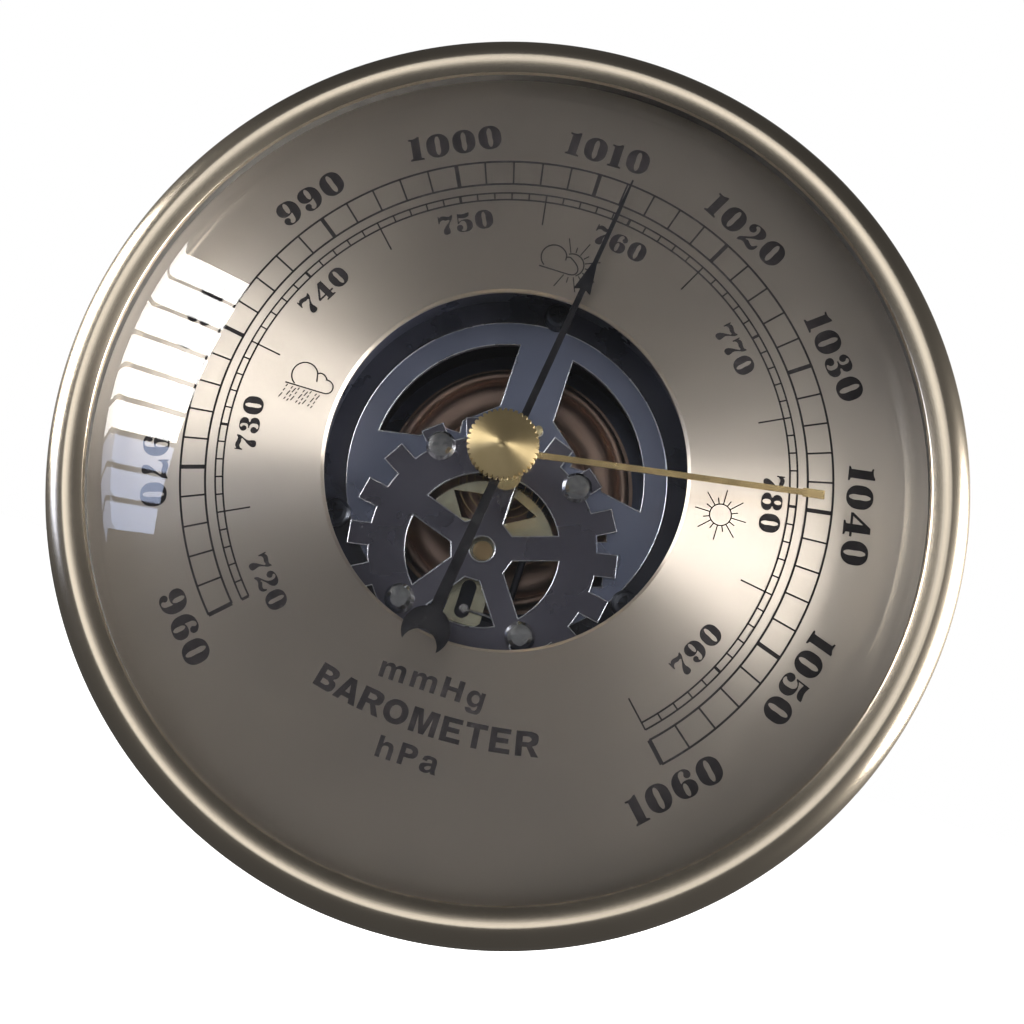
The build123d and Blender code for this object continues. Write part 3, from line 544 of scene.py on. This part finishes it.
FIGURES = {
    "0": (0.91, [
        smooth((0.455, 1.0), (0.80, 0.86), (0.91, 0.5), (0.80, 0.14), (0.455, 0.0),
               (0.11, 0.14), (0.0, 0.5), (0.11, 0.86)),
        smooth((0.455, 0.90), (0.53, 0.82), (0.55, 0.5), (0.53, 0.18), (0.455, 0.10),
               (0.38, 0.18), (0.36, 0.5), (0.38, 0.82))]),
    "1": (0.55, [
        mixed((0.0, 0.0, 0), (0.55, 0.0, 0), (0.55, 0.055, 0), (0.44, 0.10, 0), (0.44, 1.0, 0),
              (0.37, 1.0, 0), (0.22, 0.93), (0.0, 0.93, 0), (0.0, 0.875, 0), (0.10, 0.84, 0),
              (0.10, 0.10, 0), (0.0, 0.055, 0))]),
    "2": (0.82, [
        mixed((0.05, 0.70), (0.07, 0.86), (0.22, 0.97), (0.42, 1.0), (0.68, 0.95), (0.80, 0.77),
              (0.72, 0.59), (0.50, 0.44), (0.34, 0.31), (0.27, 0.23), (0.38, 0.25),
              (0.52, 0.19), (0.64, 0.17), (0.72, 0.23), (0.755, 0.31, 0), (0.82, 0.31, 0),
              (0.80, 0.12), (0.68, 0.0), (0.50, 0.0), (0.30, 0.07), (0.16, 0.055),
              (0.08, 0.0, 0), (0.0, 0.0, 0), (0.03, 0.14), (0.18, 0.28), (0.36, 0.44),
              (0.465, 0.60), (0.48, 0.78), (0.43, 0.91), (0.36, 0.95), (0.27, 0.93),
              (0.25, 0.87), (0.35, 0.78), (0.33, 0.64), (0.18, 0.58))]),
    "3": (0.79, [
        mixed((0.06, 0.78), (0.14, 0.93), (0.38, 1.0), (0.66, 0.94), (0.75, 0.77), (0.68, 0.60),
              (0.54, 0.525), (0.71, 0.45), (0.79, 0.26), (0.68, 0.07), (0.37, 0.0),
              (0.10, 0.07), (0.0, 0.23), (0.06, 0.37), (0.19, 0.40), (0.31, 0.32),
              (0.30, 0.18), (0.23, 0.10), (0.28, 0.06), (0.37, 0.05), (0.46, 0.11),
              (0.49, 0.27), (0.44, 0.43), (0.33, 0.49), (0.24, 0.50, 0), (0.24, 0.555, 0),
              (0.34, 0.56), (0.43, 0.63), (0.45, 0.77), (0.41, 0.91), (0.34, 0.95),
              (0.27, 0.93), (0.25, 0.88), (0.33, 0.80), (0.31, 0.67), (0.18, 0.62))]),
    "4": (0.91, [
        mixed((0.52, 1.0, 0), (0.75, 1.0, 0), (0.75, 0.33, 0), (0.91, 0.33, 0), (0.91, 0.24, 0),
              (0.75, 0.24, 0), (0.75, 0.10, 0), (0.86, 0.055, 0), (0.86, 0.0, 0),
              (0.32, 0.0, 0), (0.32, 0.055, 0), (0.43, 0.10, 0), (0.43, 0.24, 0),
              (0.0, 0.24, 0), (0.0, 0.33, 0)),
        mixed((0.43, 0.33, 0), (0.13, 0.33, 0), (0.43, 0.72, 0))]),
    "5": (0.82, [
        mixed((0.10, 1.0, 0), (0.36, 0.95), (0.62, 1.0, 0), (0.71, 1.0, 0), (0.67, 0.83),
              (0.53, 0.75), (0.34, 0.74), (0.15, 0.78, 0), (0.14, 0.57, 0), (0.26, 0.63),
              (0.47, 0.66), (0.72, 0.57), (0.82, 0.33), (0.71, 0.08), (0.38, 0.0),
              (0.10, 0.07), (0.0, 0.23), (0.06, 0.37), (0.19, 0.40), (0.31, 0.32),
              (0.30, 0.18), (0.23, 0.10), (0.29, 0.055), (0.38, 0.05), (0.48, 0.12),
              (0.51, 0.33), (0.46, 0.53), (0.36, 0.60), (0.22, 0.56), (0.13, 0.46, 0),
              (0.075, 0.46, 0))]),
    "6": (0.86, [
        mixed((0.50, 1.0), (0.72, 0.94), (0.82, 0.78), (0.75, 0.65), (0.62, 0.65), (0.55, 0.75),
              (0.60, 0.87), (0.57, 0.93), (0.49, 0.95), (0.39, 0.88), (0.35, 0.70),
              (0.345, 0.55, 0), (0.50, 0.60), (0.76, 0.53), (0.86, 0.30), (0.75, 0.07),
              (0.44, 0.0), (0.13, 0.12), (0.0, 0.48), (0.14, 0.87)),
        smooth((0.44, 0.53), (0.51, 0.46), (0.53, 0.29), (0.51, 0.12), (0.44, 0.055),
               (0.37, 0.12), (0.345, 0.29), (0.37, 0.46))]),
    "7": (0.74, [
        mixed((0.0, 0.62, 0), (0.055, 0.62, 0), (0.10, 0.73), (0.22, 0.79), (0.40, 0.75),
              (0.56, 0.745), (0.50, 0.62), (0.30, 0.38), (0.20, 0.16), (0.25, 0.03),
              (0.39, 0.0), (0.53, 0.07), (0.54, 0.24), (0.51, 0.40), (0.58, 0.60),
              (0.72, 0.84), (0.74, 1.0, 0), (0.68, 1.0, 0), (0.60, 0.94), (0.46, 0.95),
              (0.28, 1.0), (0.14, 0.98), (0.075, 0.93), (0.055, 1.0, 0), (0.0, 1.0, 0))]),
    "8": (0.86, [
        mixed((0.43, 1.0), (0.71, 0.94), (0.80, 0.76), (0.74, 0.61), (0.64, 0.545),
              (0.79, 0.45), (0.86, 0.27), (0.75, 0.07), (0.43, 0.0), (0.11, 0.07),
              (0.0, 0.25), (0.06, 0.41), (0.21, 0.50), (0.10, 0.60), (0.05, 0.76),
              (0.15, 0.94)),
        smooth((0.43, 0.95), (0.51, 0.89), (0.53, 0.77), (0.50, 0.66), (0.43, 0.61),
               (0.36, 0.66), (0.33, 0.77), (0.35, 0.89)),
        smooth((0.43, 0.46), (0.52, 0.40), (0.55, 0.26), (0.51, 0.11), (0.43, 0.05),
               (0.35, 0.11), (0.31, 0.26), (0.34, 0.40))]),
}
W6, LOOPS6 = FIGURES["6"]
FIGURES["9"] = (W6, [[(W6 - x, 1 - y, s) for x, y, s in loop] for loop in LOOPS6])


def solid_of(data):
    """Mesh of a filled curve or text with a little thickness, freed of doubled points."""
    obj = bpy.data.objects.new("outline", data)
    bpy.context.scene.collection.objects.link(obj)
    bpy.context.view_layer.update()
    mesh = bpy.data.meshes.new_from_object(obj.evaluated_get(bpy.context.evaluated_depsgraph_get()))
    bpy.data.objects.remove(obj)
    bm = bmesh.new()
    bm.from_mesh(mesh)
    bmesh.ops.remove_doubles(bm, verts=bm.verts, dist=1e-5)
    bm.to_mesh(mesh)
    bm.free()
    return mesh


def figure_mesh(loops):
    data = bpy.data.curves.new("figure", "CURVE")
    data.dimensions = "2D"
    data.fill_mode = "BOTH"
    data.extrude = 0.01
    data.resolution_u = 5
    for loop in loops:
        line = data.splines.new("BEZIER")
        line.bezier_points.add(len(loop) - 1)
        line.use_cyclic_u = True
        for point, (x, y, rounded) in zip(line.bezier_points, loop):
            point.co = (x, y, 0)
            kind = "AUTO" if rounded else "VECTOR"
            point.handle_left_type = kind
            point.handle_right_type = kind
    return solid_of(data)


FIGURE_MESHES = {k: (w, figure_mesh(loops)) for k, (w, loops) in FIGURES.items()}


# Heavy plain letters, each filling a unit box.
LETTERS = {
    "B": [mixed((0, 0, 0), (0, 1, 0), (0.60, 1, 0), (0.88, 0.90), (0.92, 0.70), (0.76, 0.535, 0),
                (0.96, 0.44), (0.99, 0.20), (0.86, 0.04), (0.62, 0.0, 0)),
          mixed((0.29, 0.61, 0), (0.29, 0.80, 0), (0.52, 0.80, 0), (0.63, 0.705), (0.52, 0.61, 0)),
          mixed((0.29, 0.20, 0), (0.29, 0.42, 0), (0.56, 0.42, 0), (0.69, 0.31), (0.56, 0.20, 0))],
    "A": [mixed((0, 0, 0), (0.35, 1, 0), (0.65, 1, 0), (1, 0, 0), (0.72, 0, 0), (0.665, 0.18, 0),
                (0.335, 0.18, 0), (0.28, 0, 0)),
          mixed((0.40, 0.38, 0), (0.60, 0.38, 0), (0.50, 0.72, 0))],
    "R": [mixed((0, 0, 0), (0, 1, 0), (0.62, 1, 0), (0.90, 0.90), (0.95, 0.70), (0.88, 0.50),
                (0.70, 0.42, 0), (1, 0, 0), (0.69, 0, 0), (0.47, 0.38, 0), (0.28, 0.38, 0),
                (0.28, 0, 0)),
          mixed((0.28, 0.57, 0), (0.28, 0.80, 0), (0.55, 0.80, 0), (0.66, 0.69), (0.55, 0.57, 0))],
    "O": [smooth((0.5, 1.0), (0.86, 0.86), (1.0, 0.5), (0.86, 0.14), (0.5, 0.0), (0.14, 0.14),
                 (0.0, 0.5), (0.14, 0.86)),
          smooth((0.5, 0.78), (0.67, 0.70), (0.73, 0.5), (0.67, 0.30), (0.5, 0.22), (0.33, 0.30),
                 (0.27, 0.5), (0.33, 0.70))],
    "M": [mixed((0, 0, 0), (0, 1, 0), (0.35, 1, 0), (0.5, 0.36, 0), (0.65, 1, 0), (1, 1, 0),
                (1, 0, 0), (0.78, 0, 0), (0.78, 0.72, 0), (0.60, 0, 0), (0.40, 0, 0),
                (0.22, 0.72, 0), (0.22, 0, 0))],
    "E": [mixed((0, 0, 0), (0, 1, 0), (0.96, 1, 0), (0.96, 0.80, 0), (0.31, 0.80, 0),
                (0.31, 0.61, 0), (0.88, 0.61, 0), (0.88, 0.41, 0), (0.31, 0.41, 0),
                (0.31, 0.20, 0), (1, 0.20, 0), (1, 0, 0))],
    "T": [mixed((0.36, 0, 0), (0.36, 0.80, 0), (0, 0.80, 0), (0, 1, 0), (1, 1, 0), (1, 0.80, 0),
                (0.64, 0.80, 0), (0.64, 0, 0))],
    "m": [mixed((0, 0, 0), (0, 0.97, 0), (0.17, 0.97, 0), (0.18, 0.84, 0), (0.26, 0.95),
                (0.37, 1.0), (0.49, 0.96), (0.56, 0.84, 0), (0.66, 0.96), (0.79, 1.0),
                (0.94, 0.92), (1.0, 0.68, 0), (1.0, 0, 0), (0.81, 0, 0), (0.81, 0.62, 0),
                (0.78, 0.74), (0.70, 0.76), (0.62, 0.72), (0.595, 0.56, 0), (0.595, 0, 0),
                (0.405, 0, 0), (0.405, 0.62, 0), (0.37, 0.74), (0.29, 0.76), (0.21, 0.70),
                (0.19, 0.54, 0), (0.19, 0, 0))],
    "H": [mixed((0, 0, 0), (0, 1, 0), (0.28, 1, 0), (0.28, 0.61, 0), (0.72, 0.61, 0), (0.72, 1, 0),
                (1, 1, 0), (1, 0, 0), (0.72, 0, 0), (0.72, 0.40, 0), (0.28, 0.40, 0),
                (0.28, 0, 0))],
    "g": [mixed((1.0, 0.985, 0), (1.0, 0.32, 0), (0.92, 0.09), (0.50, 0.0), (0.14, 0.06),
                (0.04, 0.20, 0), (0.34, 0.225, 0), (0.50, 0.155), (0.68, 0.19), (0.73, 0.30, 0),
                (0.73, 0.39, 0), (0.60, 0.31), (0.42, 0.28), (0.12, 0.38), (0.0, 0.64),
                (0.12, 0.90), (0.42, 1.0), (0.62, 0.95), (0.745, 0.86, 0), (0.745, 0.985, 0)),
          smooth((0.50, 0.83), (0.68, 0.77), (0.73, 0.64), (0.68, 0.50), (0.50, 0.45),
                 (0.34, 0.51), (0.28, 0.64), (0.34, 0.77))],
    "h": [mixed((0, 0, 0), (0, 1, 0), (0.29, 1, 0), (0.29, 0.66, 0), (0.43, 0.755), (0.62, 0.78),
                (0.90, 0.70), (1.0, 0.50, 0), (1.0, 0, 0), (0.71, 0, 0), (0.71, 0.46, 0),
                (0.66, 0.57), (0.50, 0.59), (0.33, 0.54), (0.29, 0.42, 0), (0.29, 0, 0))],
    "P": [mixed((0, 0, 0), (0, 1, 0), (0.60, 1, 0), (0.90, 0.90), (1.0, 0.69), (0.90, 0.47),
                (0.60, 0.38, 0), (0.29, 0.38, 0), (0.29, 0, 0)),
          mixed((0.29, 0.57, 0), (0.29, 0.80, 0), (0.55, 0.80, 0), (0.69, 0.69), (0.55, 0.57, 0))],
    "a": [mixed((0.05, 0.69, 0), (0.16, 0.92), (0.50, 1.0), (0.83, 0.91), (0.92, 0.68, 0),
                (0.92, 0.25, 0), (1.0, 0.03, 0), (0.71, 0.03, 0), (0.67, 0.13, 0), (0.52, 0.03),
                (0.32, 0.0), (0.08, 0.08), (0.0, 0.27), (0.08, 0.48), (0.36, 0.57),
                (0.64, 0.64, 0), (0.60, 0.77), (0.48, 0.80), (0.36, 0.77), (0.33, 0.66, 0)),
          mixed((0.64, 0.46, 0), (0.42, 0.40), (0.30, 0.29), (0.38, 0.19), (0.56, 0.23),
                (0.64, 0.34))],
}
LETTER_MESHES = {k: figure_mesh(loops) for k, loops in LETTERS.items()}


def number(ink, text, radius, turn, height, shift, outward, tilt=0.0):
    """Straight row of figures centred at a radius; outward says their tops point out."""
    gap = height * 0.14
    widths = [FIGURE_MESHES[c][0] * height for c in text]
    total = sum(widths) + gap * (len(text) - 1)
    row_turn = turn + tilt if outward else turn + 180 + tilt
    cx, cz = polar(radius, turn)
    dx, dz = polar(shift, turn + 90)
    a = math.radians(row_turn)
    along = Vector((math.cos(a), -math.sin(a)))
    rise = Vector((math.sin(a), math.cos(a)))
    at = Vector((cx + dx, cz + dz)) - along * total / 2 - rise * height / 2
    for char, width in zip(text, widths):
        ink.glyph(FIGURE_MESHES[char][1], height, height, row_turn, at.x, at.y)
        at = at + along * (width + gap)


FINE, BROAD = 0.27, 0.62
SWEEP = 135.0


def mmhg_turn(value):
    return (value * MMHG - 1010) * DEG_PER_HPA


scale = Ink()
R_OUT, R_IN = S, S * 0.923
scale.arc(R_OUT, FINE + 0.03, -SWEEP, SWEEP)
scale.arc(R_IN, FINE + 0.03, -SWEEP, SWEEP)
for value in range(960, 1061, 2):
    at_ten = value % 10 == 0
    scale.tick((value - 1010) * DEG_PER_HPA, R_IN, R_OUT, BROAD if at_ten else FINE)
M_OUT, M_IN, M_LONG = S * 0.892, S * 0.869, S * 0.79
first, last = mmhg_turn(720), mmhg_turn(795)
scale.arc(M_OUT, FINE - 0.02, first, last)
scale.arc(M_IN, FINE - 0.02, first, last)
for value in range(720, 796):
    at_ten = value % 10 == 0
    long_tick = value % 10 == 5
    scale.tick(mmhg_turn(value), M_LONG if long_tick else M_IN, M_OUT, 0.42 if at_ten else FINE - 0.04)
scale.finish("scale_lines")

figures = Ink()
UNIT = S / 1412
hpa_rows = {960: (0, False), 970: (-13, False), 980: (0, False), 990: (17, True),
            1000: (13, True), 1010: (5, True), 1020: (14, True), 1030: (-2, True),
            1040: (-6, True), 1050: (26, True), 1060: (-2, False)}
for value, (shift, outward) in hpa_rows.items():
    number(figures, str(value), S * 1.0786, (value - 1010) * DEG_PER_HPA, S * 0.0815,
           shift * UNIT, outward, -3.0 if value == 1030 else 0.0)
figures.finish("hpa_figures")

figures = Ink()
mmhg_rows = {720: (15, 0.800, False), 730: (20, 0.803, True), 740: (0, 0.806, True),
             750: (7, 0.803, True), 760: (8, 0.803, True), 770: (10, 0.803, True),
             780: (1, 0.818, True), 790: (0, 0.798, False)}
for value, (shift, radius, outward) in mmhg_rows.items():
    number(figures, str(value), S * radius, mmhg_turn(value), S * 0.0637, shift * UNIT, outward)
figures.finish("mmhg_figures")

# Words: each letter has its own box, (character, left edge, baseline, width, height).
words = Ink()
for char, left, base, width, height in (
        ("m", -7.77, -34.17, 3.67, 2.30), ("m", -3.18, -34.17, 3.67, 2.30),
        ("H", 1.42, -34.17, 2.89, 2.89), ("g", 5.07, -35.09, 2.44, 3.18),
        ("h", -4.70, -44.62, 2.31, 2.97), ("P", -1.47, -44.62, 2.49, 2.97),
        ("a", 1.68, -44.66, 2.49, 2.36)):
    words.glyph(LETTER_MESHES[char], width, height, 0, left, base)
SMILE_R, SMILE_Z = 69.1, 30.9
for char, turn, width in (("B", -12.3, 3.0), ("A", -9.5, 3.5), ("R", -6.45, 3.3), ("O", -3.4, 3.55),
                          ("M", 0.1, 3.8), ("E", 3.4, 2.9), ("T", 6.26, 3.05), ("E", 9.15, 2.9),
                          ("R", 12.3, 3.3)):
    a = math.radians(turn)
    cap = 3.4
    cx = 0.34 + SMILE_R * math.sin(a)
    cz = SMILE_Z - SMILE_R * math.cos(a)
    ox = cx - math.cos(a) * width / 2 + math.sin(a) * cap / 2
    oz = cz - math.sin(a) * width / 2 - math.cos(a) * cap / 2
    words.glyph(LETTER_MESHES[char], width, cap, -turn, ox, oz)
words.finish("words")


# Weather signs: a rain cloud, a sun behind a cloud and a sun.
def round_points(cx, cz, radius, start, end, count=40):
    """Points on a circle; angles counter-clockwise from the right."""
    out = []
    for k in range(count + 1):
        a = math.radians(start + (end - start) * k / count)
        out.append((cx + radius * math.cos(a), cz + radius * math.sin(a)))
    return out


def eased(points, rounds=3):
    """Corner-cutting, which turns a few given points into a smooth line."""
    for _ in range(rounds):
        cut = [points[0]]
        for (ax, az), (bx, bz) in zip(points, points[1:]):
            cut.append((ax * 0.75 + bx * 0.25, az * 0.75 + bz * 0.25))
            cut.append((ax * 0.25 + bx * 0.75, az * 0.25 + bz * 0.75))
        points = cut + [points[-1]]
    return points


def moved(points, cx, cz, unit=0.01837):
    return [(cx + x * unit, cz + z * unit) for x, z in points]


signs = Ink()
THIN = 0.2
cx, cz = -32.46, 3.92
signs.stroke(round_points(cx, cz, 1.93, 239, 20), THIN)
signs.stroke(moved([(97, 40), (104, 8), (112, -25)], cx, cz), THIN)
signs.stroke(moved(eased([(97, 40), (120, 56), (155, 48), (182, 24), (186, 8)]), cx, cz), THIN)
signs.stroke(moved(eased([(176, 14), (215, 14), (252, -14), (256, -66), (222, -97), (180, -98)]),
                   cx, cz), THIN)
signs.stroke(moved([(-130, -101), (190, -98)], cx, cz), THIN)
for row in range(4):
    for k in range(9):
        x = -100 + 34 * k - 9 * row + 6 * ((k * 5 + row * 3) % 3 - 1)
        z = -112 - 33 * row - 6 * ((k * 7 + row) % 3)
        signs.stroke(moved([(x, z), (x - 9, z - 22)], cx, cz), 0.15)
cx, cz = -2.79, 32.63
sun_x, sun_z = 0.18, 32.22
signs.stroke(round_points(cx, cz, 1.93, 236, 20), 0.2)
signs.stroke(moved([(97, 40), (99, 20), (100, 0)], cx, cz), 0.2)
signs.stroke(moved(eased([(99, 28), (125, 40), (160, 20), (205, -15), (226, -60), (205, -100),
                          (160, -108)]), cx, cz), 0.2)
signs.stroke(moved([(-95, -105), (165, -108)], cx, cz), 0.2)
signs.stroke(round_points(sun_x, sun_z, 1.78, 122, -56), 0.2)
for k in (-2.5, -1.5, -0.5, 0.5, 1.5, 2.5):
    a = math.radians(45 * k + (90 if abs(k) > 3 else 0))
    signs.stroke([(sun_x + r * math.cos(a), sun_z + r * math.sin(a)) for r in (1.95, 4.3)], 0.17)
for k in (-2, -1, 0, 1, 2):
    a = math.radians(45 * k)
    signs.stroke([(sun_x + r * math.cos(a), sun_z + r * math.sin(a)) for r in (2.0, 2.9)], 0.17)
sun_x, sun_z = 31.73, 2.43
signs.stroke(round_points(sun_x, sun_z, 1.56, 0, 354.0, 59), 0.15, closed=True)
for k in range(16):
    a = math.radians(22.5 * k)
    reach = 3.77 if k % 2 == 0 else 2.5
    signs.stroke([(sun_x + r * math.cos(a), sun_z + r * math.sin(a)) for r in (1.62, reach)], 0.14)
signs.finish("weather_signs")

# ---- camera, floor and lights --------------------------------------------------------------
cam_data = bpy.data.cameras.new("camera")
cam = bpy.data.objects.new("camera", cam_data)
bpy.context.scene.collection.objects.link(cam)
bpy.context.scene.camera = cam
cam_data.sensor_width = 36.0
cam_data.lens = 30.78
cam_data.clip_start = 0.005
right = Vector((0.9521, 0.0129, 0.3058)).normalized()
forward = Vector((-0.0584, 0.9884, 0.1396))
forward = (forward - right * forward.dot(right)).normalized()
up = right.cross(forward)
basis = Matrix((right, up, -forward)).transposed().to_4x4()
cam.matrix_world = Matrix.Translation((0.01045, -0.1562, -0.0240)) @ basis

bpy.context.scene.view_settings.view_transform = "Standard"

bpy.ops.mesh.primitive_plane_add(size=8, location=(0, 0, -0.2))
floor = bpy.context.object
floor.name = "floor"
floor.data.materials.append(mats["floor"])
floor.visible_glossy = False
floor.visible_diffuse = False
floor.visible_transmission = False


def area(name, location, target, size, power, color=(1, 1, 1)):
    data = bpy.data.lights.new(name, "AREA")
    data.shape = "RECTANGLE"
    data.size, data.size_y = size
    data.energy = power
    data.color = color
    obj = bpy.data.objects.new(name, data)
    bpy.context.scene.collection.objects.link(obj)
    obj.location = location
    aim = Vector(target) - Vector(location)
    obj.rotation_euler = aim.to_track_quat("-Z", "Y").to_euler()
    return obj


MIDDLE = (0, -0.03, 0)
WARM = (1.0, 0.97, 0.93)
PANES = 9
SKY_PANES = 6            # the panes below these are dimmer and bluer
PANE_TOP = 0.385
PANE_PITCH = 0.075
for k in range(PANES):
    area(f"window_{k}", (-0.926, -0.485, PANE_TOP - PANE_PITCH * k), MIDDLE, (0.42, 0.062),
         1.05 if k < SKY_PANES else 0.35,
         (1.0, 0.99, 0.97) if k < SKY_PANES else (0.62, 0.72, 1.0))
area("right_side", (1.15, -0.30, 0.12), MIDDLE, (0.45, 0.7), 66.0, WARM)
area("left_side", (-1.15, -0.26, 0.16), MIDDLE, (0.40, 0.6), 11.0, WARM)
patch = area("front_patch", (-0.15, -1.186, 0.12), MIDDLE, (0.44, 0.36), 0.74)
patch.data.shape = "ELLIPSE"
unlit = bpy.data.collections.new("out_of_patch")
for name in ("crystal_domed", "dial_plate", "pointer", "scale_lines", "hpa_figures", "mmhg_figures",
             "words", "weather_signs"):
    unlit.objects.link(bpy.data.objects[name])
patch.light_linking.receiver_collection = unlit
for link in unlit.collection_objects:
    link.light_linking.link_state = "EXCLUDE"

# White behind the object; what the metal reflects is a dim room, a little lighter below.
world = bpy.data.worlds.new("pale_world")
bpy.context.scene.world = world
world.use_nodes = True
wn, wl = world.node_tree.nodes, world.node_tree.links
bg = wn["Background"]
bg.inputs["Color"].default_value = (1.0, 1.0, 1.0, 1)
bg.inputs["Strength"].default_value = 1.0
dim = wn.new("ShaderNodeBackground")
dim.inputs["Color"].default_value = (0.95, 0.96, 1.0, 1)
direction = wn.new("ShaderNodeTexCoord")
height = wn.new("ShaderNodeSeparateXYZ")
wl.new(direction.outputs["Generated"], height.inputs[0])
grade = wn.new("ShaderNodeMapRange")
grade.inputs["From Min"].default_value = -0.35
grade.inputs["From Max"].default_value = 0.55
grade.inputs["To Min"].default_value = 0.085
grade.inputs["To Max"].default_value = 0.055
wl.new(height.outputs["Z"], grade.inputs["Value"])
wl.new(grade.outputs["Result"], dim.inputs["Strength"])
path = wn.new("ShaderNodeLightPath")
mix = wn.new("ShaderNodeMixShader")
wl.new(path.outputs["Is Camera Ray"], mix.inputs["Fac"])
wl.new(dim.outputs[0], mix.inputs[1])
wl.new(bg.outputs[0], mix.inputs[2])
wl.new(mix.outputs[0], wn["World Output"].inputs["Surface"])
